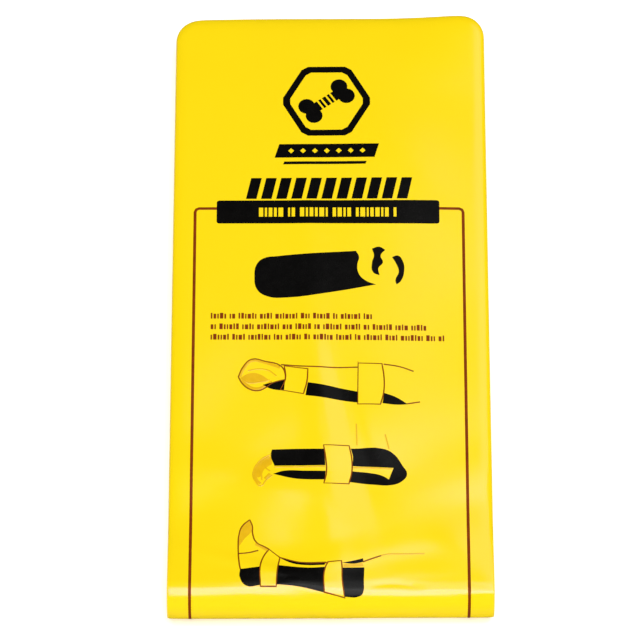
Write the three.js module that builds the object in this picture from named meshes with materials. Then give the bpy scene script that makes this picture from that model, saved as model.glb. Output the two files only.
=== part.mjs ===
// A folding splint: one long strip of two foam sheets bonded face to face, bent double
// at its middle. The printed sheet is on the outside of the fold and the plain one inside.
// Millimetres, +Z up. The lower leaf lies on Z = 0, the fold faces -Y and both free ends
// face +Y. The origin is under the centre of the folded strip.
import * as THREE from "three";

// Driving dimensions
const STRIP_LENGTH = 460; // flat, from one free end to the other
const STRIP_WIDTH = 110;
const CORNER_RADIUS = 9; // of the four rounded corners at the free ends
const OUTER_SHEET = 2.4; // thickness of the printed foam sheet
const INNER_SHEET = 2.4; // thickness of the plain foam sheet
const BOND_GAP = 0.3; // left between the two sheets
const FOLD_RADIUS = 5.6; // of the bond line, at the middle of the bend
const RIM_WIDTH = 5; // soft border where the sheets thin out to the edge
const END_DROOP = 9; // length of the limp tip of the upper leaf

// The bend in three arcs, eased into and out of: radius as a share of FOLD_RADIUS.
const FOLD_ARCS = [
  { radius: 1.3, turn: 40, steps: 4 },
  { radius: 0.9, turn: 112, steps: 9 },
  { radius: 1.3, turn: 36, steps: 4 },
];

// The upper leaf from the bend to its tip: length as a share of what is left before the
// tip, and turn in degrees, upwards positive. It dips behind the bend and then runs level.
const UPPER_LEAF = [
  { length: 0.04, turn: 0, steps: 2 },
  { length: 0.16, turn: 9.6, steps: 6 },
  { length: 0.3, turn: -2.4, steps: 6 },
  { length: 0.3, turn: 0.4, steps: 5 },
  { length: 0.2, turn: -0.6, steps: 4 },
];
const TIP_TURN = -4; // of the limp tip, over END_DROOP
const TIP_STEPS = 2;
const LOWER_LEAF_STEPS = 8;

// The rim: inset as a share of RIM_WIDTH, thick as a share of a sheet's thickness.
const RIM = [
  { inset: 0, thick: 0.4 },
  { inset: 0.14, thick: 0.76 },
  { inset: 0.42, thick: 0.92 },
  { inset: 1, thick: 1 },
];
const INNER_COLUMNS = 10; // between the two side rims
const ROW_CLEARANCE = 1.5; // least distance of a row from those at the free ends

// Slow waves of the upper leaf. across is a share of the width from the middle, along a
// share of the leaf from the bend to the tip, and wide and long are the spreads in the
// same shares. lift is in sheet thicknesses. They grow from nothing over WAVE_FADE.
const WAVE_FADE = 0.42; // share of the leaf, from the bend
const WAVES = [
  { across: 0.5, along: 1.02, wide: 0.2, long: 0.09, lift: 1.15 },
  { across: -0.5, along: 1.0, wide: 0.2, long: 0.1, lift: -0.3 },
  { across: -0.42, along: 0.17, wide: 0.16, long: 0.08, lift: -0.32 },
  { across: 0.45, along: 0.2, wide: 0.16, long: 0.08, lift: -0.28 },
  { across: 0.05, along: 0.27, wide: 0.22, long: 0.2, lift: 0.25 },
  { across: 0.12, along: 0.65, wide: 0.3, long: 0.25, lift: 0.2 },
];

const DEGREE = Math.PI / 180;
const HALF_LENGTH = STRIP_LENGTH / 2;
const HALF_WIDTH = STRIP_WIDTH / 2;
const OUTER_FACE = BOND_GAP / 2 + OUTER_SHEET; // from the bond line to the printed face

const bendLength = FOLD_ARCS.reduce(
  (sum, arc) => sum + arc.radius * FOLD_RADIUS * arc.turn * DEGREE,
  0,
);
const leafLength = (STRIP_LENGTH - bendLength) / 2;

// The bond line seen from the side, as arcs walked from the lower free end, round the
// bend and along the upper leaf. heading is 180 degrees towards -Y and 0 towards +Y.
function bondLineArcs() {
  const arcs = [{ length: leafLength, turn: 0, steps: LOWER_LEAF_STEPS }];
  for (const arc of FOLD_ARCS) {
    const length = arc.radius * FOLD_RADIUS * arc.turn * DEGREE;
    arcs.push({ length, turn: -arc.turn, steps: arc.steps });
  }
  for (const arc of UPPER_LEAF) {
    const length = arc.length * (leafLength - END_DROOP);
    arcs.push({ length, turn: arc.turn, steps: arc.steps });
  }
  arcs.push({ length: END_DROOP, turn: TIP_TURN, steps: TIP_STEPS });
  return arcs;
}

// Stations along the bond line: strip is the distance from the lower free end.
function bondLine() {
  const stations = [];
  let strip = 0;
  let heading = Math.PI;
  let y = 0;
  let z = OUTER_FACE;
  stations.push({ strip, heading, y, z });
  for (const arc of bondLineArcs()) {
    const step = arc.length / arc.steps;
    const turn = (arc.turn * DEGREE) / arc.steps;
    const chord = turn === 0 ? step : (step * Math.sin(turn / 2)) / (turn / 2);
    for (let i = 0; i < arc.steps; i++) {
      y += chord * Math.cos(heading + turn / 2);
      z += chord * Math.sin(heading + turn / 2);
      heading += turn;
      strip += step;
      stations.push({ strip, heading, y, z });
    }
  }
  return stations;
}

const line = bondLine();

// The bond line at any distance from the lower free end.
function bondLineAt(strip) {
  const after = line.findIndex((station) => station.strip > strip);
  const next = after < 0 ? line.length - 1 : Math.max(after, 1);
  const [a, b] = [line[next - 1], line[next]];
  const t = Math.min(1, (strip - a.strip) / (b.strip - a.strip));
  const mix = (p, q) => p + (q - p) * t;
  return {
    strip,
    heading: mix(a.heading, b.heading),
    y: mix(a.y, b.y),
    z: mix(a.z, b.z),
  };
}

// Rows of both sheets: the rim's insets and the corner's start at both free ends, and
// between them the stations of the bond line that aren't crowded by those.
function rows() {
  const lower = [...RIM.map((row) => row.inset * RIM_WIDTH), CORNER_RADIUS];
  const ends = [...lower, ...lower.map((inset) => STRIP_LENGTH - inset)];
  const clear = (strip) => ends.every((end) => Math.abs(end - strip) > ROW_CLEARANCE);
  const between = line.map((station) => station.strip).filter(clear);
  return [...ends, ...between].sort((a, b) => a - b).map(bondLineAt);
}

// Half the strip's width at a distance from the lower free end, round the corners.
function halfWidthAt(strip) {
  const fromEnd = Math.min(strip, STRIP_LENGTH - strip);
  if (fromEnd >= CORNER_RADIUS) return HALF_WIDTH;
  const rise = CORNER_RADIUS - fromEnd;
  return HALF_WIDTH - CORNER_RADIUS + Math.sqrt(CORNER_RADIUS ** 2 - rise ** 2);
}

// Places across the strip, with the share of the full thickness there.
function columnsAt(strip) {
  const half = halfWidthAt(strip);
  const rim = RIM.map((row) => ({
    across: half - row.inset * RIM_WIDTH,
    thick: row.thick,
  }));
  const field = half - RIM_WIDTH;
  const middle = [];
  for (let i = 1; i < INNER_COLUMNS; i++) {
    middle.push({ across: field * ((2 * i) / INNER_COLUMNS - 1), thick: 1 });
  }
  const left = rim.map((column) => ({ ...column, across: -column.across }));
  return [...left, ...middle, ...rim.reverse()];
}

// Share of the full thickness at a distance from the nearer free end.
function endThickness(strip) {
  const inset = Math.min(strip, STRIP_LENGTH - strip) / RIM_WIDTH;
  const after = RIM.findIndex((row) => row.inset > inset);
  if (after < 0) return 1;
  const [a, b] = [RIM[after - 1], RIM[after]];
  return a.thick + ((b.thick - a.thick) * (inset - a.inset)) / (b.inset - a.inset);
}

// How far the slow waves lift the strip along its outward normal.
function waveLift(across, strip) {
  const along = (strip - leafLength - bendLength) / leafLength;
  if (along <= 0) return 0;
  const fadeIn = Math.min(1, along / WAVE_FADE) ** 2;
  return WAVES.reduce((sum, wave) => {
    const a = (across / STRIP_WIDTH - wave.across) / wave.wide;
    const b = (along - wave.along) / wave.long;
    return sum + wave.lift * OUTER_SHEET * Math.exp(-a * a - b * b) * fadeIn;
  }, 0);
}

// One foam sheet as a closed body between two faces, each given by its distance from the
// bond line at a share of the sheet's thickness. face is the far one, and bond the near.
function sheetGeometry(side, thickness) {
  const grid = rows().map((row) =>
    columnsAt(row.strip).map((column) => {
      const thick = column.thick * endThickness(row.strip);
      const lift = waveLift(column.across, row.strip);
      const near = lift + (side * BOND_GAP) / 2;
      const far = near + side * thickness * thick;
      const place = (offset) =>
        new THREE.Vector3(
          column.across,
          row.y - Math.sin(row.heading) * offset,
          row.z + Math.cos(row.heading) * offset,
        );
      return { outward: place(Math.max(near, far)), inward: place(Math.min(near, far)) };
    }),
  );
  const triangles = [];
  const quad = (a, b, c, d) => triangles.push(a, b, c, a, c, d);
  const last = grid.length - 1;
  const across = grid[0].length - 1;
  for (let i = 0; i < last; i++) {
    for (let j = 0; j < across; j++) {
      const [a, b] = [grid[i][j], grid[i][j + 1]];
      const [d, c] = [grid[i + 1][j], grid[i + 1][j + 1]];
      quad(a.outward, b.outward, c.outward, d.outward);
      quad(a.inward, d.inward, c.inward, b.inward);
    }
    const [a, d] = [grid[i][0], grid[i + 1][0]];
    const [b, c] = [grid[i][across], grid[i + 1][across]];
    quad(a.inward, a.outward, d.outward, d.inward);
    quad(b.outward, b.inward, c.inward, c.outward);
  }
  for (let j = 0; j < across; j++) {
    const [a, b] = [grid[0][j], grid[0][j + 1]];
    const [d, c] = [grid[last][j], grid[last][j + 1]];
    quad(a.inward, b.inward, b.outward, a.outward);
    quad(d.outward, c.outward, c.inward, d.inward);
  }
  const geometry = new THREE.BufferGeometry().setFromPoints(triangles);
  geometry.computeVertexNormals();
  return geometry;
}

function foam(colour, roughness) {
  return new THREE.MeshStandardMaterial({ color: colour, roughness, metalness: 0 });
}

const OUTWARD = 1;
const INWARD = -1;

const outerSheet = new THREE.Mesh(sheetGeometry(OUTWARD, OUTER_SHEET), foam(0xffe01e, 0.42));
outerSheet.name = "outer_foam_sheet";

const innerSheet = new THREE.Mesh(sheetGeometry(INWARD, INNER_SHEET), foam(0xf7d51c, 0.6));
innerSheet.name = "inner_foam_sheet";

const splint = new THREE.Group();
splint.add(outerSheet, innerSheet);

// The walk starts at the lower free end, so the footprint is centred at the end.
const footprint = new THREE.Box3().setFromObject(splint);
splint.position.y = -(footprint.min.y + footprint.max.y) / 2;

export default splint;
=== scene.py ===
"""A folding splint: a long strip of two foam sheets, printed outside and bent double.

Run as a script in Blender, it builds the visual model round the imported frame.
"""

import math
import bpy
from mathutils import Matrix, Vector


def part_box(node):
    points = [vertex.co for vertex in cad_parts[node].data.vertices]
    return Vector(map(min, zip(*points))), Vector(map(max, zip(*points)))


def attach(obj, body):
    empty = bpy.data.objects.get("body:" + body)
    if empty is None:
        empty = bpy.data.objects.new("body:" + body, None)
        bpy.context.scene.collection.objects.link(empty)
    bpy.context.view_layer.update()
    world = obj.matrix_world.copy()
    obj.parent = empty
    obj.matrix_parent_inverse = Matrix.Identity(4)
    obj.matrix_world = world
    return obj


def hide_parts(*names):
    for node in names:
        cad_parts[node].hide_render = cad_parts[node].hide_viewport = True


bl_info = {
    "name": "Folding Splint",
    "version": (1, 0, 0),
    "blender": (4, 5, 0),
    "location": "3D View > Sidebar > Splint",
    "description": "Builds a printed foam splint, folded double, and its stage",
    "category": "Add Mesh",
}

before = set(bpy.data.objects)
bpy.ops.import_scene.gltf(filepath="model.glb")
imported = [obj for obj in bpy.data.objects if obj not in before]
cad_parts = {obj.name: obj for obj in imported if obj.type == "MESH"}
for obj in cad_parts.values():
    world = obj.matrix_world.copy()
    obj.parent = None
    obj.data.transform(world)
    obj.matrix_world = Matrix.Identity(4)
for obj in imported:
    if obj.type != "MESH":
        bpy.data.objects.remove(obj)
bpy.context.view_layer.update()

import bpy
import numpy as np
from bpy.props import FloatProperty, FloatVectorProperty, PointerProperty
from mathutils import Matrix, Vector

MM = 0.001
BODY = "root"
SHARP = "sharp"  # third value of an outline's point that is a corner

# The bend and the upper leaf, as in the part's source.
# The bend in three arcs: radius as a share of the fold radius, turn in degrees.
FOLD_ARCS = (
    {"radius": 1.3, "turn": 40},
    {"radius": 0.9, "turn": 112},
    {"radius": 1.3, "turn": 36},
)
# The upper leaf: length as a share of what is left before its tip, turn in degrees.
UPPER_LEAF = (
    {"length": 0.04, "turn": 0},
    {"length": 0.16, "turn": 9.6},
    {"length": 0.3, "turn": -2.4},
    {"length": 0.3, "turn": 0.4},
    {"length": 0.2, "turn": -0.6},
)
TIP_TURN = -4
# Slow waves of the upper leaf: across, along, spread across, spread along, height. Across is
# in widths, along in lengths of the leaf from the bend to the tip, height in sheets.
WAVE_FADE = 0.42
WAVES = (
    (0.5, 1.02, 0.2, 0.09, 1.15),
    (-0.5, 1.0, 0.2, 0.1, -0.3),
    (-0.42, 0.17, 0.16, 0.08, -0.32),
    (0.45, 0.2, 0.16, 0.08, -0.28),
    (0.05, 0.27, 0.22, 0.2, 0.25),
    (0.12, 0.65, 0.3, 0.25, 0.2),
)

# Gentle swells and hollows of the foam, in mm: across, distance from the upper tip, spread
# across, spread along, turn in degrees, height.
SWELLS = (
    (-35, 182.7, 45, 9.3, 12.5, 1.07),
    (42.5, 183.6, 45, 11.6, -19.5, 0.74),
    (-4, 180.5, 29.6, 44.5, 51.5, 1.6),
    (-2.2, 165, 5.3, 90, -4, 0.44),
    (7, 161.3, 5.2, 44.6, -14.3, -0.57),
    (-44, 159.5, 37, 90, 4.5, 0.55),
    (-40.8, 190.6, 43, 7.9, -36.7, -0.39),
    (45.7, 125.3, 40.6, 35.8, -12, -1.2),
    (43.3, 209.7, 7.5, 9.9, -44, 0.55),
    (-15, 209.2, 9.6, 13, 15, -0.42),
    (21.5, 203.2, 45, 9.1, 0.5, 0.56),
    (-30.3, 143, 10.7, 26.3, 26, -0.15),
    (50, 22, 45, 12.4, 9, 0.56),
    (24.4, 60, 28.5, 15.5, 51.5, 0.61),
)
# The same on the bend itself, where the foam is puckered.
PUCKERS = (
    (-27.7, 227.8, 32, 2.1, 0, 0.49),
    (42.6, 225.6, 12, 1.3, -8.5, 0.24),
    (49.2, 223.5, 10.7, 1.3, 2.5, 0.36),
    (-5.1, 227.6, 7.7, 1.5, 6.5, 0.44),
    (28.7, 220.9, 15, 2.8, 1, -0.32),
    (-6.6, 221.2, 43.6, 1.5, 1, -0.17),
    (-10.3, 216.3, 45, 5.3, -14.5, 0.5),
    (-21, 216.9, 21.3, 2.5, 16.5, 0.46),
    (-12.3, 221.5, 7, 1.3, 2.5, 0.36),
    (-30.3, 227.8, 61, 5.8, 0, 0.47),
)
# Sharp creases of the foam, in mm: both ends as places like the above, the spreads on the
# left and the right of the line, and its height.
CREASES = [((-0.8, 223.5), (-3.6, 233.0), 0.6, 0.8, -0.16)]
# A wavy crease is made of short ones that overlap, each over two of its stretches.
WAVY_CREASE = (
    (11.8, 222.3), (14.8, 221.8), (18.2, 221.3), (21.5, 221.2),
    (24.9, 221.6), (28.3, 222.1), (31.3, 222.5),
)
CREASES += [(start, stop, 0.8, 0.8, -0.17) for start, stop in zip(WAVY_CREASE, WAVY_CREASE[2:])]


def length_property(name, description, default):
    """A length that a user may change."""
    return FloatProperty(name=name, description=description, default=default, unit="LENGTH")


def colour_property(name, description, default):
    """A colour that a user may change."""
    return FloatVectorProperty(
        name=name, description=description, default=default, size=3, min=0, max=1, subtype="COLOR"
    )


class SplintSizes(bpy.types.PropertyGroup):
    """Sizes of the strip and of its print."""

    strip_length: length_property("Strip length", "Flat length, from one free end to the other", 0.46)
    strip_width: length_property("Strip width", "Width of the strip", 0.11)
    corner_radius: length_property(
        "Corner radius", "Radius of the four corners at the free ends", 0.009
    )
    sheet: length_property("Sheet thickness", "Thickness of each foam sheet", 0.0024)
    bond_gap: length_property("Bond gap", "Space between the two sheets of the packed model", 0.0003)
    fold_radius: length_property(
        "Fold radius", "Radius of the bond line at the middle of the bend", 0.0056
    )
    rim_width: length_property("Rim width", "Soft border where the sheets thin out to the edge", 0.005)
    end_droop: length_property("Limp tip", "Length of the limp tip of the upper leaf", 0.009)
    ink_height: length_property("Ink height", "How far the ink stands above the foam", 0.00006)
    frame_line: length_property("Frame line", "Width of the printed frame line", 0.0010416)
    fine_line: length_property("Fine line", "Width of the lines of the drawings", 0.0005)


class SplintFinish(bpy.types.PropertyGroup):
    """Colours of the foam and the ink, and the gloss of the foam."""

    printed_foam: colour_property(
        "Printed foam", "Colour of the outer foam sheet", (0.89, 0.645, 0.0035)
    )
    plain_foam: colour_property("Plain foam", "Colour of the inner foam sheet", (0.86, 0.60, 0.012))
    black_ink: colour_property("Black ink", "Colour of the solid print", (0.0022, 0.0020, 0.0018))
    line_ink: colour_property(
        "Line ink", "Colour of the frame and note lines, thin on the foam", (0.19, 0.028, 0.0004)
    )
    fine_ink: colour_property(
        "Fine ink", "Colour of the drawn lines, which are thinner still", (0.22, 0.055, 0.0004)
    )
    shade_ink: colour_property(
        "Shade ink", "Colour of the light shading in the drawings", (0.7, 0.4, 0.004)
    )
    foam_roughness: FloatProperty(
        name="Foam roughness",
        description="Roughness of the foam's smooth skin",
        default=0.16,
        min=0,
        max=1,
        subtype="FACTOR",
    )


# The fold

WALK_POINTS = 4000  # to find the front of the bend


def ease(share):
    """A share from 0 to 1 that starts and stops gently."""
    return share * share * (3 - 2 * share)


class BondLine:
    """The line between the two sheets, seen from the side, walked from the lower end."""

    def __init__(self, sizes):
        bend = [arc["radius"] * sizes.fold_radius * math.radians(arc["turn"]) for arc in FOLD_ARCS]
        self.length = sizes.strip_length
        self.bend = sum(bend)
        self.leaf = (self.length - self.bend) / 2
        arcs = [(self.leaf, 0.0)]
        arcs += [(length, -arc["turn"]) for length, arc in zip(bend, FOLD_ARCS)]
        arcs += [(arc["length"] * (self.leaf - sizes.end_droop), arc["turn"]) for arc in UPPER_LEAF]
        arcs += [(sizes.end_droop, TIP_TURN)]
        self.face = sizes.bond_gap / 2 + sizes.sheet
        self.sheet = sizes.sheet
        self.width = sizes.strip_width
        self.ink_height = sizes.ink_height
        start, heading, y, z = 0.0, math.pi, 0.0, self.face
        rows = []
        for length, degrees in arcs:
            turn = math.radians(degrees)
            rows.append((start, heading, y, z, turn / length))
            chord = length * float(np.sinc(turn / 2 / math.pi))
            y += chord * math.cos(heading + turn / 2)
            z += chord * math.sin(heading + turn / 2)
            heading += turn
            start += length
        self.rows = np.array(rows)
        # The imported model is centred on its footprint, so the walk is moved to its front.
        walk = np.linspace(0, self.length, WALK_POINTS)
        y, z, heading = self.at(walk)
        front = float(np.min(y - np.sin(heading) * self.face))
        self.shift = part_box("outer_foam_sheet")[0][1] - front

    def at(self, strip):
        """Place and heading at distances from the lower free end."""
        starts, headings, ys, zs, curvatures = self.rows.T
        index = np.clip(np.searchsorted(starts, strip, side="right") - 1, 0, len(starts) - 1)
        along = strip - starts[index]
        half = curvatures[index] * along / 2
        chord = along * np.sinc(half / math.pi)
        angle = headings[index] + half
        return (
            ys[index] + chord * np.cos(angle),
            zs[index] + chord * np.sin(angle),
            headings[index] + 2 * half,
        )

    def lift(self, across, strip):
        """How far waves, creases, swells and puckers lift the strip along its outward normal."""
        along = (strip - self.leaf - self.bend) / self.leaf
        fade = np.clip(along / WAVE_FADE, 0, 1) ** 2
        lift = np.zeros_like(across)
        for x, t, wide, long, height in WAVES:
            a = (across / self.width - x) / wide
            b = (along - t) / long
            lift += height * self.sheet * np.exp(-a * a - b * b) * fade
        from_tip = self.length - strip
        for crease in CREASES:
            lift += crease_lift(crease, across / MM, from_tip / MM) * MM
        free = ease(np.clip((strip - self.leaf) / self.bend, 0, 1))
        for swell in SWELLS:
            lift += swell_lift(swell, across / MM, from_tip / MM) * MM * free
        for pucker in PUCKERS:
            lift += swell_lift(pucker, across / MM, from_tip / MM) * MM
        return lift

    def fold(self, flat):
        """Flat places (across, strip, height over the bond line) on the folded strip."""
        across, strip, height = flat.T
        y, z, heading = self.at(strip)
        offset = height + self.lift(across, strip)
        return np.stack(
            (across, y - np.sin(heading) * offset + self.shift, z + np.cos(heading) * offset), axis=1
        )


def swell_lift(swell, across, from_tip):
    """Height of one swell, hollow or pucker, in mm."""
    x, t, wide, long, degrees, height = swell
    turn = math.radians(degrees)
    x, t = across - x, from_tip - t
    a = (x * math.cos(turn) + t * math.sin(turn)) / wide
    b = (t * math.cos(turn) - x * math.sin(turn)) / long
    return height * np.exp(-a * a - b * b)


def crease_lift(crease, across, from_tip):
    """Height of one crease, in mm, which dies out towards its ends."""
    (x1, t1), (x2, t2), left, right, height = crease
    length = math.hypot(x2 - x1, t2 - t1)
    ux, ut = (x2 - x1) / length, (t2 - t1) / length
    share = ((across - x1) * ux + (from_tip - t1) * ut) / length
    aside = (across - x1) * ut - (from_tip - t1) * ux
    spread = np.where(aside < 0, left, right)
    taper = ease(np.clip(4 * share * (1 - share), 0, 1))
    return height * taper * np.exp(-((aside / spread) ** 2))


# Working with Blender


def use_only(*objects):
    """Selects these objects alone, the first one active."""
    if bpy.context.object and bpy.context.object.mode != "OBJECT":
        bpy.ops.object.mode_set(mode="OBJECT")
    bpy.ops.object.select_all(action="DESELECT")
    for item in objects:
        item.select_set(True)
    bpy.context.view_layer.objects.active = objects[0] if objects else None


def points_of(piece):
    """The vertices of a piece as rows of x, y, z."""
    flat = np.empty(len(piece.data.vertices) * 3)
    piece.data.vertices.foreach_get("co", flat)
    return flat.reshape(-1, 3)


def move_points(piece, places):
    """Puts the vertices of a piece at these places."""
    piece.data.vertices.foreach_set("co", places.ravel())
    piece.data.update()


def coat(piece, material):
    """Gives a part one material."""
    piece.data.materials.clear()
    piece.data.materials.append(material)


def finish_piece(piece, name):
    """Names a finished piece and lets it ride."""
    piece.name = name
    piece.data.name = name
    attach(piece, BODY)


# Materials

WHITE = (1, 1, 1, 1)
# Noise: cells per metre and detail.
BLOTCHES = (24, 3)  # of the foam's colour
FOAM_CELLS = (2600, 2)  # on the cut edges
GLOSS_PATCHES = (130, 3)
GRAIN = (900, 2)
INK_PATCHES = (420, 3)
INK_WEAR = (160, 2)
FLOOR_FLECKS = (3, 2)
# Values of the noise that are spread over a range.
NARROW = (0.35, 0.65)
BROAD = (0.2, 0.8)
GRAIN_DEPTH = 0.05 * MM
GRAIN_STRENGTH = 0.25
SKIN_TONES = (0.985, 1.015)  # shares of the foam's colour
CUT_TONES = (0.8, 1.06)
CUT_ROUGHNESS = 0.85
PORE_DEPTH = 0.2 * MM
PORE_STRENGTH = 0.3
GLOSS_SPREAD = 0.01  # of the foam's roughness, either way
WEAR_SPREAD = 0.03  # of the ink's roughness, either way
FOAM_GLOSS = 0.6
FOAM_TINT = (1, 0.3, 0.95, 1)  # of the gloss of the yellow skin
INKS = {
    "black_ink": {"roughness": 0.2, "patchy": 0.2, "gloss": 0.08},
    "line_ink": {"roughness": 0.4, "patchy": 0.15, "gloss": 0.08},
    "fine_ink": {"roughness": 0.4, "patchy": 0.15, "gloss": 0.08},
    "shade_ink": {"roughness": 0.2, "patchy": 0.04, "gloss": 0.3},
}


class Nodes:
    """Adds nodes to a new material and joins them."""

    def __init__(self, name):
        self.material = bpy.data.materials.new(name)
        self.material.use_nodes = True
        self.tree = self.material.node_tree
        self.shader = self.tree.nodes["Principled BSDF"]
        self.place = self.add("ShaderNodeTexCoord").outputs["Object"]

    def add(self, kind, **values):
        """A node with its properties and the defaults of its inputs."""
        node = self.tree.nodes.new(kind)
        for key, value in values.items():
            if key in node.inputs:
                node.inputs[key].default_value = value
            else:
                setattr(node, key, value)
        return node

    def join(self, source, target):
        """Links an output to an input."""
        self.tree.links.new(source, target)

    def noise(self, scale, detail):
        """Noise over the piece, with scale in cells per metre."""
        node = self.add("ShaderNodeTexNoise", Scale=scale, Detail=detail)
        self.join(self.place, node.inputs["Vector"])
        return node.outputs["Fac"]

    def range(self, value, low, high, span=NARROW):
        """A value, spread from its span over low to high."""
        node = self.add("ShaderNodeMapRange")
        for key, number in zip(("From Min", "From Max", "To Min", "To Max"), (*span, low, high)):
            node.inputs[key].default_value = number
        self.join(value, node.inputs["Value"])
        return node.outputs["Result"]

    def mix(self, share, first, second):
        """Two colours mixed by a share."""
        node = self.add("ShaderNodeMix", data_type="RGBA")
        self.join(share, node.inputs[0])
        for socket, colour in ((node.inputs[6], first), (node.inputs[7], second)):
            if isinstance(colour, tuple):
                socket.default_value = colour
            else:
                self.join(colour, socket)
        return node.outputs[2]

    def grain(self):
        """The foam's fine grain, which shows through the ink too."""
        node = self.add("ShaderNodeBump", Distance=GRAIN_DEPTH, Strength=GRAIN_STRENGTH)
        self.join(self.noise(*GRAIN), node.inputs["Height"])
        return node.outputs["Normal"]


def tone(colour, share):
    """A colour made lighter or darker by a share, with alpha."""
    return tuple(min(1.0, c * share) for c in colour) + (1.0,)


def foam_material(name, colour, roughness):
    """Closed-cell foam with a smooth skin, and fine cells on its cut edges."""
    nodes = Nodes(name)
    shader = nodes.shader
    edge = nodes.add("ShaderNodeAttribute", attribute_name="cut_edge").outputs["Fac"]
    blotches = nodes.range(nodes.noise(*BLOTCHES), 0, 1, BROAD)
    skin = nodes.mix(blotches, *(tone(colour, share) for share in SKIN_TONES))
    cells = nodes.noise(*FOAM_CELLS)
    cut = nodes.mix(nodes.range(cells, 0, 1), *(tone(colour, share) for share in CUT_TONES))
    nodes.join(nodes.mix(edge, skin, cut), shader.inputs["Base Color"])
    patches = nodes.noise(*GLOSS_PATCHES)
    gloss = nodes.range(patches, roughness - GLOSS_SPREAD, roughness + GLOSS_SPREAD, BROAD)
    matt = nodes.add("ShaderNodeMix", data_type="FLOAT")
    nodes.join(edge, matt.inputs[0])
    nodes.join(gloss, matt.inputs[2])
    matt.inputs[3].default_value = CUT_ROUGHNESS
    nodes.join(matt.outputs[0], shader.inputs["Roughness"])
    pores = nodes.add("ShaderNodeBump", Distance=PORE_DEPTH)
    nodes.join(nodes.range(edge, 0, PORE_STRENGTH, (0, 1)), pores.inputs["Strength"])
    nodes.join(cells, pores.inputs["Height"])
    nodes.join(nodes.grain(), pores.inputs["Normal"])
    nodes.join(pores.outputs["Normal"], shader.inputs["Normal"])
    shader.inputs["Specular IOR Level"].default_value = FOAM_GLOSS
    shader.inputs["Specular Tint"].default_value = FOAM_TINT
    return nodes.material


def ink_material(name, colour, roughness, patchy, gloss):
    """Screen-printed ink: a thin film that is a little patchy and shows the foam's grain."""
    nodes = Nodes(name)
    shader = nodes.shader
    patches = nodes.range(nodes.noise(*INK_PATCHES), 0, 1)
    skin = nodes.mix(patches, tone(colour, 1 - patchy), tone(colour, 1 + patchy))
    nodes.join(skin, shader.inputs["Base Color"])
    wear = nodes.range(nodes.noise(*INK_WEAR), roughness - WEAR_SPREAD, roughness + WEAR_SPREAD, BROAD)
    nodes.join(wear, shader.inputs["Roughness"])
    nodes.join(nodes.grain(), shader.inputs["Normal"])
    shader.inputs["Specular IOR Level"].default_value = gloss
    return nodes.material


def ink(context, name):
    """One of the inks, made at its first use."""
    made = bpy.data.materials.get(name)
    colour = tuple(getattr(context.scene.splint_finish, name))
    return made or ink_material(name, colour, **INKS[name])


# Foam sheets

# Distances from a cut edge at which the sheets have a row or column, in mm.
RIM_STEPS = (0, 0.04, 0.14, 0.32, 0.6, 1.0, 1.5, 2.2, 3.0, 4.0)
CORNER_STEPS = (5.0, 6.4, 7.8, 9.0)
RIM_POWER = 2.5  # of the curve in which a rim thins out
EDGE_THICKNESS = 0.4  # share of a sheet's thickness right at a cut edge
FOLD_EDGE = 0.86  # the same beside the bend, where the cut stays square
FOLD_EDGE_FADE = 24  # over this length on either side of the bend, in mm
# The most between two rows or columns, in mm.
COLUMN_STEP = 1.8
LEAF_STEP = 1.9
BEND_STEP = 0.5
LOWER_STEP = 4.0
CREST_STEP = 0.9
CREST_LENGTH = 16  # of the upper leaf behind the bend, in mm
BEND_MARGIN = 2  # of the lower leaf, with rows as close as in the bend, in mm
SEAM = 0.02 * MM  # from the bond line to the near face of a sheet
CUT_EDGE = 0.5 * MM  # from the edge to where the foam's skin is whole
FOAM_SMOOTH = 50  # degrees; sharper edges of the foam stay sharp


def even_steps(start, stop, step):
    """Places from start up to but not at stop, no more than a step apart."""
    count = max(1, math.ceil((stop - start) / step))
    return [start + (stop - start) * i / count for i in range(count)]


def row_places(line):
    """Distances of the rows from the lower free end."""
    leaf, bend, length = line.leaf / MM, line.bend / MM, line.length / MM
    ends = list(RIM_STEPS + CORNER_STEPS)
    rows = ends[:-1]
    rows += even_steps(ends[-1], leaf - BEND_MARGIN, LOWER_STEP)
    rows += even_steps(leaf - BEND_MARGIN, leaf + bend, BEND_STEP)
    rows += even_steps(leaf + bend, leaf + bend + CREST_LENGTH, CREST_STEP)
    rows += even_steps(leaf + bend + CREST_LENGTH, length - ends[-1], LEAF_STEP)
    rows += [length - end for end in reversed(ends)]
    return np.array(rows) * MM


def column_places(sizes):
    """Columns as (side, inset from the edge) in the rims and (0, share) between them."""
    field = sizes.strip_width / 2 / MM - sizes.rim_width / MM
    rim = [(-1, inset * MM) for inset in RIM_STEPS]
    shares = [(0, x / field) for x in even_steps(-field, field, COLUMN_STEP)] + [(0, 1.0)]
    return rim + shares + [(1, inset * MM) for inset in reversed(RIM_STEPS)]


def side_edge(strip, line):
    """Share of a sheet's full thickness right at its side edges, along the strip."""
    away = np.maximum(line.leaf - strip, strip - line.leaf - line.bend)
    near = np.clip(1 - away / (FOLD_EDGE_FADE * MM), 0, 1)
    return EDGE_THICKNESS + (FOLD_EDGE - EDGE_THICKNESS) * ease(near)


def rim_profile(inset, rim_width, edge):
    """Share of a sheet's full thickness at an inset from a cut edge."""
    share = np.clip(inset / rim_width, 0, 1)
    return edge + (1 - edge) * (1 - (1 - share) ** RIM_POWER) ** (1 / RIM_POWER)


def half_width(strip, sizes):
    """Half the strip's width at a distance from the lower free end, round the corners."""
    half, radius = sizes.strip_width / 2, sizes.corner_radius
    from_end = np.minimum(strip, sizes.strip_length - strip)
    rise = np.clip(radius - from_end, 0, radius)
    return half - radius + np.sqrt(radius * radius - rise * rise)


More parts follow.
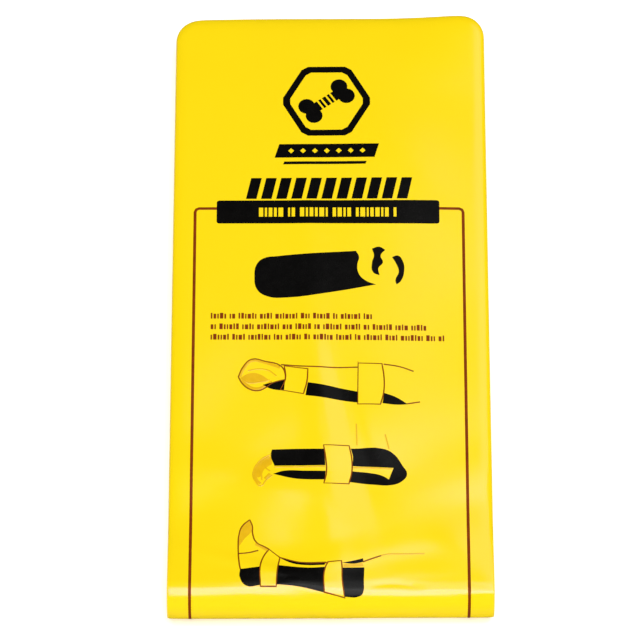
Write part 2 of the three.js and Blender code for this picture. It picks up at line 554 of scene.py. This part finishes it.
def foam_slab(rows, columns):
    """A flat slab of one metre each way with a grid of rows and columns."""
    use_only()
    bpy.ops.mesh.primitive_grid_add(
        x_subdivisions=len(columns) - 1, y_subdivisions=len(rows) - 1, size=1, location=(0, 0, 0)
    )
    slab = bpy.context.object
    if len(slab.data.vertices) != len(rows) * len(columns):
        raise RuntimeError("the foam's grid has other rows")
    bpy.ops.object.mode_set(mode="EDIT")
    bpy.ops.mesh.select_all(action="SELECT")
    bpy.ops.mesh.extrude_region_move(TRANSFORM_OT_translate={"value": (0, 0, 1)})
    bpy.ops.mesh.select_all(action="SELECT")
    bpy.ops.mesh.normals_make_consistent(inside=False)
    bpy.ops.object.mode_set(mode="OBJECT")
    return slab


def foam_sheet(context, side, material):
    """One foam sheet: a flat slab, rounded, thinned at its rims and bent over the fold."""
    sizes = context.scene.splint_sizes
    line = BondLine(sizes)
    rows = row_places(line)
    columns = column_places(sizes)
    piece = foam_slab(rows, columns)
    unit = points_of(piece)
    column = np.rint((unit[:, 0] + 0.5) * (len(columns) - 1)).astype(int)
    strip = rows[np.rint((unit[:, 1] + 0.5) * (len(rows) - 1)).astype(int)]
    kind = np.array([place[0] for place in columns])[column]
    value = np.array([place[1] for place in columns])[column]
    half = half_width(strip, sizes)
    across = np.where(kind == 0, value * (half - sizes.rim_width), kind * (half - value))
    from_side = half - np.abs(across)
    from_end = np.minimum(strip, sizes.strip_length - strip)
    thick = rim_profile(from_side, sizes.rim_width, side_edge(strip, line))
    thick *= rim_profile(from_end, sizes.rim_width, EDGE_THICKNESS)
    face = (unit[:, 2] > 0.5) == (side > 0)
    height = np.where(face, sizes.bond_gap / 2 + sizes.sheet * thick, SEAM)
    move_points(piece, line.fold(np.stack((across, strip, side * height), axis=1)))
    from_edge = np.minimum(from_side, from_end)
    cut = piece.data.attributes.new("cut_edge", "FLOAT", "POINT")
    cut.data.foreach_set("value", np.clip(1 - from_edge / CUT_EDGE, 0, 1))
    use_only(piece)
    bpy.ops.object.shade_smooth_by_angle(angle=math.radians(FOAM_SMOOTH))
    coat(piece, material)
    return piece


# Print

CURVE_STEPS = 4  # from one point of a curve to the next
CELL = 2.0  # the largest face of the ink, in mm
BEND_CELL = 0.6  # the same in the bend and behind it
DOUBLES = 0.001 * MM  # points closer than this are merged
SLIVER = 0.002 * MM  # edges shorter than this are dissolved after the cuts
INK_DEPTH = 0.05 * MM  # how far the ink sinks into the foam
INK_SMOOTH = 35  # degrees
CORNER_INSET = 0.3  # of a cut corner's middle, as a share of the cut


def new_curve(dimensions, steps):
    """An empty curve object."""
    use_only()
    bpy.ops.curve.primitive_bezier_curve_add(location=(0, 0, 0))
    curve = bpy.context.object
    curve.data.splines.clear()
    curve.data.dimensions = dimensions
    curve.data.resolution_u = steps
    return curve


def add_spline(curve, points, closed, length):
    """A spline through points (across, from the tip) in mm. A third value means a corner."""
    spline = curve.data.splines.new("BEZIER")
    spline.bezier_points.add(len(points) - 1)
    spline.use_cyclic_u = closed
    for knot, point in zip(spline.bezier_points, points):
        knot.co = (point[0] * MM, length - point[1] * MM, 0)
        kind = "VECTOR" if len(point) > 2 else "AUTO"
        knot.handle_left_type = kind
        knot.handle_right_type = kind


def as_mesh(curve):
    """Makes a curve a mesh with its doubles merged."""
    use_only(curve)
    bpy.ops.object.convert(target="MESH")
    bpy.ops.object.mode_set(mode="EDIT")
    bpy.ops.mesh.select_all(action="SELECT")
    bpy.ops.mesh.remove_doubles(threshold=DOUBLES)
    bpy.ops.mesh.normals_make_consistent(inside=False)
    bpy.ops.object.mode_set(mode="OBJECT")
    return bpy.context.object


def cut_cells(piece, line):
    """Cuts a flat piece into cells, so that it can follow the foam."""
    places = points_of(piece)
    low, high = places.min(axis=0), places.max(axis=0)
    crest_end = line.leaf + line.bend + CREST_LENGTH * MM
    bpy.ops.object.mode_set(mode="EDIT")
    for axis, normal in enumerate(((1, 0, 0), (0, 1, 0))):
        place = low[axis] + CELL * MM
        while place < high[axis]:
            bpy.ops.mesh.select_all(action="SELECT")
            bpy.ops.mesh.bisect(plane_co=tuple(place * n for n in normal), plane_no=normal)
            near_bend = axis == 1 and line.leaf - CELL * MM < place < crest_end
            place += (BEND_CELL if near_bend else CELL) * MM
    bpy.ops.mesh.select_all(action="SELECT")
    bpy.ops.mesh.dissolve_degenerate(threshold=SLIVER)
    bpy.ops.object.mode_set(mode="OBJECT")


def set_height(piece, proud):
    """Gives a flat piece its thickness: proud above the foam and sunk below it."""
    places = points_of(piece)
    share = places[:, 2] / places[:, 2].max()
    places[:, 2] = share * np.where(share > 0, proud, INK_DEPTH)
    move_points(piece, places)


def ink_part(curve, material, line, share, cells):
    """Makes a curve a flat part of ink, with a share of its height, and in cells if it is large."""
    piece = as_mesh(curve)
    if cells:
        cut_cells(piece, line)
    set_height(piece, share * line.ink_height)
    coat(piece, material)
    return piece


def fills(outlines, material, line, share=1, cells=True):
    """Solid areas of ink. An outline inside another one is left bare."""
    curve = new_curve("2D", CURVE_STEPS)
    curve.data.fill_mode = "BOTH"
    curve.data.extrude = INK_DEPTH
    for outline in outlines:
        add_spline(curve, outline, True, line.length)
    return ink_part(curve, material, line, share, cells)


def strokes(paths, rings, width, material, line, share=1, steps=CURVE_STEPS):
    """Drawn lines of ink: open paths and closed rings."""
    curve = new_curve("3D", steps)
    curve.data.twist_mode = "Z_UP"
    curve.data.bevel_depth = width / 2
    curve.data.bevel_resolution = 1
    curve.data.use_fill_caps = True
    for path in paths:
        add_spline(curve, path, False, line.length)
    for ring in rings:
        add_spline(curve, ring, True, line.length)
    return ink_part(curve, material, line, share, steps > 1)


def print_piece(name, parts, line):
    """Joins flat parts of ink into one piece and lays it on the foam."""
    use_only(*parts)
    if len(parts) > 1:
        bpy.ops.object.join()
    piece = bpy.context.object
    places = points_of(piece)
    places[:, 2] += line.face
    move_points(piece, line.fold(places))
    use_only(piece)
    bpy.ops.object.shade_smooth_by_angle(angle=math.radians(INK_SMOOTH))
    finish_piece(piece, name)


def corners(*points):
    """An outline whose points are all corners."""
    return [point + (SHARP,) for point in points]


def box_outline(left, top, right, bottom, lean=0.0, cut=0.0):
    """A four-sided outline, leaning to the right at its top, with its corners cut."""
    if not cut:
        return corners((left + lean, top), (right + lean, top), (right, bottom), (left, bottom))
    inset = CORNER_INSET * cut
    return corners(
        (left + cut, top),
        (right - cut, top),
        (right - inset, top + inset),
        (right, top + cut),
        (right, bottom - cut),
        (right - inset, bottom - inset),
        (right - cut, bottom),
        (left + cut, bottom),
        (left + inset, bottom - inset),
        (left, bottom - cut),
        (left, top + cut),
        (left + inset, top + inset),
    )


# The badge: a six-sided frame round a banded bone, over a bar and a thin line. Sizes are in
# mm, the frame's cut and the bone's lean in degrees.
BADGE = {"across": -1.3, "from_tip": 34.8, "radius": 16.2, "line": 2.7, "cut": 5}
BONE = {"half": 7.0, "lobe": 3.0, "spread": 2.3, "shaft": 1.9, "lean": 35}
BONE_REACH = 99.0  # a place beyond both ends of the bone
LOBE_POINTS = 12
BONE_BANDS = (-2.6, -1.0, 1.0, 2.6)
BAND_CLEAR = 0.35
BADGE_BAR = {"left": -19.6, "top": 52.2, "right": 15.6, "bottom": 57.6, "lean": 1.6}
BADGE_RULE = {"left": -16.6, "top": 59.2, "right": 12.4, "bottom": 60.3, "lean": 0.4}
BADGE_DIAMONDS = {"count": 7, "pitch": 4.2, "half": 1.05}


def hexagon(radius):
    """The frame of the badge, flat at its top, with its corners taken off."""
    cut = BADGE["cut"]
    reach = radius * math.cos(math.radians(30)) / math.cos(math.radians(30 - cut))
    angles = [math.radians(60 * corner + turn) for corner in range(6) for turn in (-cut, cut)]
    return corners(
        *(
            (BADGE["across"] + reach * math.cos(a), BADGE["from_tip"] + reach * math.sin(a))
            for a in angles
        )
    )


def bone_part(low, high):
    """The outline of the bone between two places along it, with its ends where it has them."""
    half, lobe, spread, shaft = (BONE[key] for key in ("half", "lobe", "spread", "shaft"))
    join = math.degrees(math.asin((spread - shaft) / lobe))
    notch = math.degrees(math.asin(spread / lobe))
    points = []
    for side in (1, -1):
        if (side > 0 and high < half) or (side < 0 and low > -half):
            edge = high if side > 0 else low
            points += [(edge, -side * shaft), (edge, side * shaft)]
            continue
        arc = np.radians(np.linspace(-180 - join, notch, LOBE_POINTS))
        reach = side * (half + lobe * np.cos(arc))
        rise = side * (spread - lobe * np.sin(arc))
        points += zip(reach, -rise)
        points += zip(reach[-2::-1], rise[-2::-1])
    return lean_bone(points)


def lean_bone(points):
    """Turns outline points of the bone to its lean and puts them in the badge."""
    lean = math.radians(BONE["lean"])
    return corners(
        *(
            (
                BADGE["across"] + u * math.cos(lean) + v * math.sin(lean),
                BADGE["from_tip"] - u * math.sin(lean) + v * math.cos(lean),
            )
            for u, v in points
        )
    )


def bone_outlines():
    """The bone, parted by the thin bare lines of its bands."""
    bands = [band + side * BAND_CLEAR for band in BONE_BANDS for side in (-1, 1)]
    edges = [-BONE_REACH, *bands, BONE_REACH]
    return [bone_part(low, high) for low, high in zip(edges[::2], edges[1::2])]


def diamonds():
    """A row of bare diamonds in the badge's bar."""
    middle = (BADGE_BAR["left"] + BADGE_BAR["right"] + BADGE_BAR["lean"]) / 2
    level = (BADGE_BAR["top"] + BADGE_BAR["bottom"]) / 2
    half, count = BADGE_DIAMONDS["half"], BADGE_DIAMONDS["count"]
    places = [middle + (i - (count - 1) / 2) * BADGE_DIAMONDS["pitch"] for i in range(count)]
    return [
        corners((x - half, level), (x, level - half), (x + half, level), (x, level + half))
        for x in places
    ]


# The row of leaning bars over the title bar, and the bare marks in the bar, in mm.
STRIPES = {"left": -29.6, "right": 27.0, "top": 65.8, "bottom": 74.1, "lean": 1.8}
STRIPE_COUNT = 11
STRIPE_SHARE = 0.72  # of the width that a bar and its space have
TITLE_BAR = {"left": -39.8, "top": 74.75, "right": 38.2, "bottom": 83.85, "cut": 0.8}
TITLE_MARKS = {"left": -25.0, "right": 23.4, "top": 77.6, "bottom": 81.2}
# Widths of the marks in turn. A wider space follows every few marks.
MARK_WIDTHS = (1.5, 0.8, 1.3, 1.0, 1.7, 0.7, 1.2)
MARK_GAP = 0.55
WORD_GAP = 1.7
WORD_LENGTHS = (5, 2, 6, 4, 7, 3, 5, 2, 6)

# The rows of note marks: right end and level. All start at the same place.
NOTE_LEFT = -41.4
NOTE_LINES = ((15.1, 120.1), (33.7, 124.2), (40.1, 128.2))
NOTE_HEIGHT = 2.2
NOTE_WIDTHS = (0.55, 0.9, 0.5, 1.15, 0.6, 0.5, 1.0)
NOTE_GAP = 0.4
NOTE_WORD_GAP = 1.2
NOTE_RISES = (0, 0.35, 0.35, 0, 0.35, 0.35, 0.35, 0)


def mark_row(left, right, top, bottom, widths, gap, word_gap, start, rises=(0,)):
    """A row of plain marks in groups, from left to right."""
    outlines = []
    place, count, word = left, 0, start
    in_word = 0
    while True:
        width = widths[(count + start) % len(widths)]
        if place + width > right:
            return outlines
        rise = rises[(count + start) % len(rises)]
        outlines.append(box_outline(place, top + rise, place + width, bottom))
        place += width + gap
        count += 1
        in_word += 1
        if in_word == WORD_LENGTHS[word % len(WORD_LENGTHS)]:
            place += word_gap - gap
            in_word = 0
            word += 1


# Drawings of the strip in use, in mm: (across, from the tip), a third value means a corner.
SOFT_LINE = 1.0
FAINT_LINE = 0.5
# How far the parts of a drawing stand up, as shares of the ink's height.
SHARES = {"shade": 0.6, "soft": 0.8, "faint": 1.2, "lines": 1.3}
S = SHARP
STRIP_DRAWING = {
    "black": (
        (
            (-18.5, 96.8), (-6.4, 95.7), (8.9, 94.7, S), (10, 97), (9.4, 99.8),
            (9.8, 103.4), (12.2, 106.2), (15.8, 107.7, S), (-0.1, 110.9), (-15.4, 113),
            (-21.7, 112.6), (-25.4, 110), (-26.4, 104.4), (-25.7, 100.1), (-23.4, 97.7),
        ),
        (
            (14.5, 93.8, S), (17, 93), (19.1, 94.2, S), (17.5, 96.4), (18.3, 99.1),
            (16.7, 101.3), (17.1, 104.1, S), (14.9, 103), (14.5, 99.1), (15.2, 96.4),
        ),
        (
            (21.5, 97, S), (23.6, 96.4), (25.3, 98.7), (25.7, 102.2), (24.5, 106.2),
            (23, 107.6, S), (22.6, 106), (23.8, 102.6), (23, 99.7),
        ),
    ),
}
FOREARM_DRAWING = {
    "black": (
        ((-23.2, 146.6, S), (-20.1, 145.7), (-15.6, 144.7, S), (-16, 148.9, S), (-20.8, 148)),
        (
            (-7.8, 145.8, S), (0.8, 147.3), (9.5, 149.2, S),
            (9.5, 153.3, S), (0.5, 152), (-8.6, 150.7, S),
        ),
        ((18.4, 149.6, S), (22.2, 151), (26.5, 153.8, S), (22.4, 154), (17.8, 153.5, S)),
    ),
    "shade": (
        (
            (-31, 143.9, S), (-27.9, 142.2), (-24.7, 142.4),
            (-21, 144.9, S), (-24.6, 145.5), (-28.2, 145.7),
        ),
    ),
    "rings": (
        (
            (-31.7, 143.5, S), (-30, 139.6), (-27.1, 136.8), (-22.6, 137.6), (-17, 139.5),
            (-15.6, 142.4), (-15.5, 144.6, S), (-20.1, 146), (-22.2, 147.6), (-24.8, 148.8),
            (-27.8, 148.2), (-30.2, 146.2),
        ),
        (
            (-15.9, 139.4, S), (-7.8, 140.6, S), (-8.1, 145.4),
            (-9.3, 150.1, S), (-17.2, 148.5, S), (-15.5, 144.2),
        ),
        (
            (9.5, 138.2, S), (17.7, 138.3, S), (18.4, 143.6), (18.2, 149.6), (17.1, 153.9, S),
            (9.3, 153.8, S),
        ),
    ),
    "soft": (
        ((-31.2, 143.5), (-29.7, 140), (-27, 137.3), (-22.6, 138.1), (-17.4, 140)),
        ((-30.6, 144.8), (-29.4, 146), (-27.4, 147.6), (-24.8, 148), (-22.4, 146.9), (-20.1, 145.4)),
    ),
    "faint": (
        ((-28.4, 141.2), (-25.4, 140.6), (-21.6, 141), (-18.6, 143.2)),
        ((-30.9, 144), (-28.2, 145.8), (-24.6, 145.6), (-20.8, 144.8)),
        ((9.4, 137.6), (9.5, 138.2)),
    ),
    "paths": (
        ((-17, 138.9), (-10.5, 139.5), (-0.2, 139.9), (9.4, 139.8)),
        ((18.3, 138.5), (23.9, 139.4), (28.6, 141.1)),
        ((26.3, 153.6), (30.7, 152.8)),
    ),
}
ELBOW_DRAWING = {
    "black": (
        (
            (-20, 171.1, S), (-11.1, 170.9), (-2.2, 171.1, S), (-1.8, 177.2, S),
            (-11.1, 177.2), (-19.1, 177.2, S), (-20.4, 173.3),
        ),
        (
            (6.9, 170.7, S), (18.3, 170.8), (21.8, 172.9), (24.4, 176.8), (26, 180.1),
            (24.3, 182.8), (21, 184.3), (14.1, 184.1), (6.6, 183.4, S), (7.4, 179.2, S),
            (13.5, 179.7), (17.6, 180.8), (19.8, 182.2, S), (21.4, 177.8, S), (14.1, 177.4),
            (7.4, 177.2, S), (7.6, 173.7),
        ),
        (
            (-19.5, 180.4, S), (-16, 179.2), (-9.1, 179.2), (-1.7, 179.4, S),
            (-2, 182.7, S), (-7.7, 182.6), (-12.5, 182.2),
        ),
    ),
    "shade": (
        (
            (-20.2, 173.6, S), (-22.9, 175.2), (-25.8, 179.9),
            (-24.6, 181.8), (-22.4, 178.3), (-20, 176.6, S),
        ),
    ),
    "rings": (
        (
            (-2.4, 169.6, S), (6.3, 169.6, S), (7.2, 174.4), (7.2, 179.6),
            (6.2, 184.1, S), (-2.3, 184.1, S), (-1.4, 179.6), (-1.7, 174.4),
        ),
    ),
    "soft": (
        ((-20.8, 173.8), (-23.2, 175.2), (-25.8, 179.9), (-25.1, 182.8), (-23.8, 184.3)),
        ((-22.4, 182.3), (-20.6, 180.3)),
    ),
    "faint": (
        ((8.8, 161.2), (9, 169.3)),
        ((18.6, 165.3), (19.9, 170.7)),
        ((-24.9, 178.2), (-23.6, 180.3), (-23.4, 182.8)),
        ((-23.4, 175.9), (-22.2, 177.9), (-20.6, 179.3)),
        ((-19.2, 177.7), (-11, 177.7), (-1.9, 177.6)),
        ((7.6, 177.8), (14.1, 177.8), (20.9, 178.2)),
        (
            (-20.3, 172.9), (-23.4, 174.6), (-26.4, 179.9), (-25.6, 183.2),
            (-23.8, 185.1), (-22, 182.9), (-19.8, 180.8),
        ),
    ),
}
LEG_DRAWING = {
    "black": (
        (
            (-30.5, 216.9, S), (-23.8, 216.1, S), (-23.8, 219.2),
            (-23.7, 222, S), (-28.6, 222.1), (-30.5, 220.2),
        ),
        (
            (-17.9, 215.3, S), (-7.7, 216.3), (-1.9, 216.1, S), (-2.3, 220.4), (-2.2, 223.7, S),
            (-10.3, 222.4), (-18.3, 221.8, S),
        ),
        (
            (3.8, 216.3, S), (11.3, 215.9, S), (11.1, 220.7), (10.9, 223.6),
            (9.9, 224.5), (4.7, 224.7, S), (3.9, 221),
        ),
        (
            (-16.9, 212.5, S), (-10.4, 214), (-1.6, 214.2, S),
            (-2.1, 215.3, S), (-8.5, 215.3), (-13, 214.5),
        ),
        ((3.8, 214.5, S), (7.8, 213.5), (10.9, 212.6, S), (11, 213.9, S), (7.8, 214.6)),
    ),
    "shade": (
        (
            (-27.4, 198, S), (-26.6, 200.4), (-26.9, 202.4), (-28.9, 204.8),
            (-30.8, 207.8, S), (-30.9, 204), (-29.8, 200.5),
        ),
        ((4.3, 215, S), (10.7, 214.3, S), (11, 215.5, S), (4.2, 216.1, S)),
    ),
    "rings": (
        (
            (-20.8, 209, S), (-17.1, 212.2, S), (-17.8, 216.1), (-18.3, 222.3, S),
            (-23.6, 222.3, S), (-23.8, 216.5), (-22.6, 211.8),
        ),
        (
            (-0.9, 214.2, S), (3.6, 213.7, S), (3.8, 216.1), (3.9, 220.6),
            (4.7, 224.9, S), (-2.2, 223.6, S), (-2.4, 219.6), (-1.8, 216.1),
        ),
    ),
    "soft": (
        ((-25.4, 207), (-22.3, 208.8), (-20.9, 209.7)),
    ),
    "paths": (
        ((-27.4, 197.8), (-26.5, 200.2), (-26.4, 202.8), (-25.1, 206.4), (-22.1, 208.2), (-20.8, 209)),
        ((-17.1, 212.2), (-10.4, 214.2), (-1.2, 214.5)),
        ((-27.4, 197.8), (-29.9, 200.2), (-31, 203.8), (-31.2, 206.9), (-30.8, 214.7), (-30.4, 216.9)),
        ((-30.9, 210.8), (-27.6, 210.4), (-24.4, 209.5)),
        ((10.8, 213.9), (14.9, 212.2), (17, 211.4)),
    ),
    "faint": (((16.6, 211.5), (19.5, 210.8), (24, 210.7), (31.6, 210.5)),),
}
DRAWINGS = {
    "ink_strip_drawing": STRIP_DRAWING,
    "ink_forearm_drawing": FOREARM_DRAWING,
    "ink_elbow_drawing": ELBOW_DRAWING,
    "ink_leg_drawing": LEG_DRAWING,
}

# The printed frame: its sides, its corner and how far it stays from the free ends, in mm.
PRINT_FRAME = {"left": -47.35, "right": 46.5, "top": 77.9, "corner": 1.4}


def frame_paths(line):
    """The frame line from one end of the title bar, round the strip, to the other."""
    left, right, top, corner = (PRINT_FRAME[key] for key in ("left", "right", "top", "corner"))
    length, leaf, bend = line.length / MM, line.leaf / MM, line.bend / MM
    far = length - top
    side = even_steps(top + corner, leaf, CELL)
    side += even_steps(leaf, leaf + bend, BEND_CELL)
    side += even_steps(leaf + bend, far - corner, CELL)
    inset = CORNER_INSET * corner
    path = [(TITLE_BAR["left"], top)]
    path += [(left + corner, top), (left + inset, top + inset)]
    path += [(left, place) for place in side] + [(left, far - corner)]
    path += [(left + inset, far - inset), (left + corner, far)]
    path += [(x, far) for x in even_steps(left + corner + CELL / 2, right - corner, CELL)]
    path += [(right - corner, far), (right - inset, far - inset), (right, far - corner)]
    path += [(right, place) for place in reversed(side)]
    path += [(right - inset, top + inset), (right - corner, top), (TITLE_BAR["right"], top)]
    return [corners(*path)]


# Stage

CAMERA = {"lens": 248.68, "sensor": 36, "distance": 1.54466, "elevation": 63.904}
CAMERA_AIM = (-0.003619, -0.000212, 0)
CAMERA_NEAR = 0.01
FLOOR_DROP = 0.2 * MM
FLOOR_SIZE = 8
FLOOR_TONES = ((0.9, 0.9, 0.9, 1), (0.92, 0.92, 0.92, 1))
FLOOR_ROUGHNESS = 0.9
FLOOR_GLOW = 0.36
# Soft lights, all aimed at the origin: name, place, size, watts, whether gloss mirrors it.
LIGHTS = (
    ("overhead", (0.1, -0.3, 1.7), (1.5, 0.76), 11.5, True),
    ("overhead_edge", (0.1, -0.3, 1.71), (1.6, 0.96), 15.4, True),
    ("high", (0.37, 0.3, 1.7), (0.71, 0.63), 2.7, True),
    ("high_edge", (0.37, 0.3, 1.71), (0.91, 0.87), 4.7, True),
    ("front", (-0.2, -2.0, 1.2), (3.2, 2.4), 26, False),
    ("back_right", (0.63, 0.95, 1.5), (0.84, 0.5), 1.85, True),
)
SKY = 0.05


def add_light(name, at, size, watts, in_gloss):
    """One soft light, turned towards the origin with its first side level."""
    back = Vector(at).normalized()
    side = (Vector((1, 0, 0)) - back * back.x).normalized()
    turn = Matrix((side, back.cross(side), back)).transposed().to_euler()
    use_only()
    bpy.ops.object.light_add(type="AREA", location=at, rotation=turn)
    light = bpy.context.object
    light.name = name
    light.data.shape = "RECTANGLE"
    light.data.size, light.data.size_y = size
    light.data.energy = watts
    light.visible_glossy = in_gloss


class SPLINT_OT_stage(bpy.types.Operator):
    """Floor, soft light, and the camera at the photograph's place"""

    bl_idname = "splint.stage"
    bl_label = "Stage"

    def execute(self, context):
        use_only()
        bpy.ops.mesh.primitive_plane_add(size=FLOOR_SIZE, location=(0, 0, -FLOOR_DROP))
        floor = context.object
        floor.name = "floor"
        floor.visible_glossy = False
        paper = Nodes("pale_floor")
        flecks = paper.range(paper.noise(*FLOOR_FLECKS), 0, 1)
        paper.join(paper.mix(flecks, *FLOOR_TONES), paper.shader.inputs["Base Color"])
        paper.shader.inputs["Roughness"].default_value = FLOOR_ROUGHNESS
        paper.shader.inputs["Emission Color"].default_value = WHITE
        paper.shader.inputs["Emission Strength"].default_value = FLOOR_GLOW
        coat(floor, paper.material)
        world = context.scene.world or bpy.data.worlds.new("studio")
        context.scene.world = world
        world.use_nodes = True
        sky = world.node_tree.nodes["Background"]
        sky.inputs["Color"].default_value = WHITE
        sky.inputs["Strength"].default_value = SKY
        for row in LIGHTS:
            add_light(*row)
        elevation = math.radians(CAMERA["elevation"])
        back = Vector((0, -math.cos(elevation), math.sin(elevation)))
        place = Vector(CAMERA_AIM) + back * CAMERA["distance"]
        use_only()
        bpy.ops.object.camera_add(location=place, rotation=(math.pi / 2 - elevation, 0, 0))
        camera = context.object
        camera.data.lens = CAMERA["lens"]
        camera.data.sensor_width = CAMERA["sensor"]
        camera.data.sensor_fit = "HORIZONTAL"
        camera.data.clip_start = CAMERA_NEAR
        context.scene.camera = camera
        context.scene.view_settings.view_transform = "Standard"
        return {"FINISHED"}


class SPLINT_OT_foam(bpy.types.Operator):
    """The printed outer sheet and the plain inner sheet"""

    bl_idname = "splint.foam"
    bl_label = "Foam sheets"

    def execute(self, context):
        finish = context.scene.splint_finish
        rows = (
            (1, "printed_foam", tuple(finish.printed_foam), 0.0, "outer_foam_sheet", "outer_foam"),
            (-1, "plain_foam", tuple(finish.plain_foam), 0.1, "inner_foam_sheet", "inner_foam"),
        )
        for side, name, colour, rougher, node, slot in rows:
            material = foam_material(name, colour, finish.foam_roughness + rougher)
            piece = foam_sheet(context, side, material)
            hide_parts(node)
            finish_piece(piece, name)
        return {"FINISHED"}


class SPLINT_OT_badge(bpy.types.Operator):
    """The printed badge with its banded bone, bar and rule"""

    bl_idname = "splint.badge"
    bl_label = "Badge"

    def execute(self, context):
        line = BondLine(context.scene.splint_sizes)
        outlines = [hexagon(BADGE["radius"]), hexagon(BADGE["radius"] - BADGE["line"])]
        outlines += bone_outlines()
        outlines += [box_outline(**BADGE_BAR), box_outline(**BADGE_RULE)]
        outlines += diamonds()
        print_piece("ink_badge", [fills(outlines, ink(context, "black_ink"), line)], line)
        return {"FINISHED"}


class SPLINT_OT_title(bpy.types.Operator):
    """The row of leaning bars, the title bar with its bare marks, and the frame line"""

    bl_idname = "splint.title"
    bl_label = "Title and frame"

    def execute(self, context):
        sizes = context.scene.splint_sizes
        line = BondLine(sizes)
        black = ink(context, "black_ink")
        left, right, top, bottom, lean = STRIPES.values()
        pitch = (right - left) / STRIPE_COUNT
        width = pitch * STRIPE_SHARE
        step = pitch + (pitch - width) / (STRIPE_COUNT - 1)
        edges = [left + i * step for i in range(STRIPE_COUNT)]
        bars = [box_outline(x, top, x + width, bottom, lean) for x in edges]
        print_piece("ink_stripes", [fills(bars, black, line)], line)
        outlines = [box_outline(**TITLE_BAR)]
        outlines += mark_row(**TITLE_MARKS, widths=MARK_WIDTHS, gap=MARK_GAP, word_gap=WORD_GAP, start=0)
        print_piece("ink_title_bar", [fills(outlines, black, line)], line)
        thin = ink(context, "line_ink")
        path = strokes(frame_paths(line), (), sizes.frame_line, thin, line, steps=1)
        print_piece("ink_frame_line", [path], line)
        return {"FINISHED"}


class SPLINT_OT_notes(bpy.types.Operator):
    """The rows of plain marks under the first drawing"""

    bl_idname = "splint.notes"
    bl_label = "Note lines"

    def execute(self, context):
        line = BondLine(context.scene.splint_sizes)
        outlines = []
        for start, (right, level) in enumerate(NOTE_LINES):
            box = (NOTE_LEFT, right, level - NOTE_HEIGHT / 2, level + NOTE_HEIGHT / 2)
            outlines += mark_row(*box, NOTE_WIDTHS, NOTE_GAP, NOTE_WORD_GAP, start, NOTE_RISES)
        part = fills(outlines, ink(context, "line_ink"), line, cells=False)
        print_piece("ink_note_lines", [part], line)
        return {"FINISHED"}


class SPLINT_OT_drawings(bpy.types.Operator):
    """The four drawings of the strip and of how it is worn"""

    bl_idname = "splint.drawings"
    bl_label = "Drawings"

    def execute(self, context):
        sizes = context.scene.splint_sizes
        line = BondLine(sizes)
        black, fine, shade = (ink(context, name) for name in ("black_ink", "fine_ink", "shade_ink"))
        for name, drawing in DRAWINGS.items():
            parts = [fills(drawing["black"], black, line)]
            if "shade" in drawing:
                parts.append(fills(drawing["shade"], shade, line, SHARES["shade"]))
            for key, width in (("soft", SOFT_LINE), ("faint", FAINT_LINE)):
                if key in drawing:
                    parts.append(strokes(drawing[key], (), width * MM, shade, line, SHARES[key]))
            if "rings" in drawing:
                paths, rings = drawing.get("paths", ()), drawing["rings"]
                parts.append(strokes(paths, rings, sizes.fine_line, fine, line, SHARES["lines"]))
            print_piece(name, parts, line)
        return {"FINISHED"}


OPERATORS = (
    SPLINT_OT_stage,
    SPLINT_OT_foam,
    SPLINT_OT_badge,
    SPLINT_OT_title,
    SPLINT_OT_notes,
    SPLINT_OT_drawings,
)


class SPLINT_PT_panel(bpy.types.Panel):
    """Sizes, finish and steps of the splint"""

    bl_label = "Folding Splint"
    bl_space_type = "VIEW_3D"
    bl_region_type = "UI"
    bl_category = "Splint"

    def draw(self, context):
        for group in (context.scene.splint_sizes, context.scene.splint_finish):
            column = self.layout.column()
            for name in group.bl_rna.properties.keys():
                if name not in ("rna_type", "name"):
                    column.prop(group, name)
        for operator in OPERATORS:
            self.layout.operator(operator.bl_idname)


CLASSES = (SplintSizes, SplintFinish) + OPERATORS + (SPLINT_PT_panel,)


def register():
    for item in CLASSES:
        bpy.utils.register_class(item)
    bpy.types.Scene.splint_sizes = PointerProperty(type=SplintSizes)
    bpy.types.Scene.splint_finish = PointerProperty(type=SplintFinish)


def unregister():
    del bpy.types.Scene.splint_finish
    del bpy.types.Scene.splint_sizes
    for item in reversed(CLASSES):
        bpy.utils.unregister_class(item)


def main():
    """Builds the stage and the splint."""
    register()
    bpy.ops.splint.stage()
    bpy.ops.splint.foam()
    bpy.ops.splint.badge()
    bpy.ops.splint.title()
    bpy.ops.splint.notes()
    bpy.ops.splint.drawings()


if __name__ == "__main__":
    main()
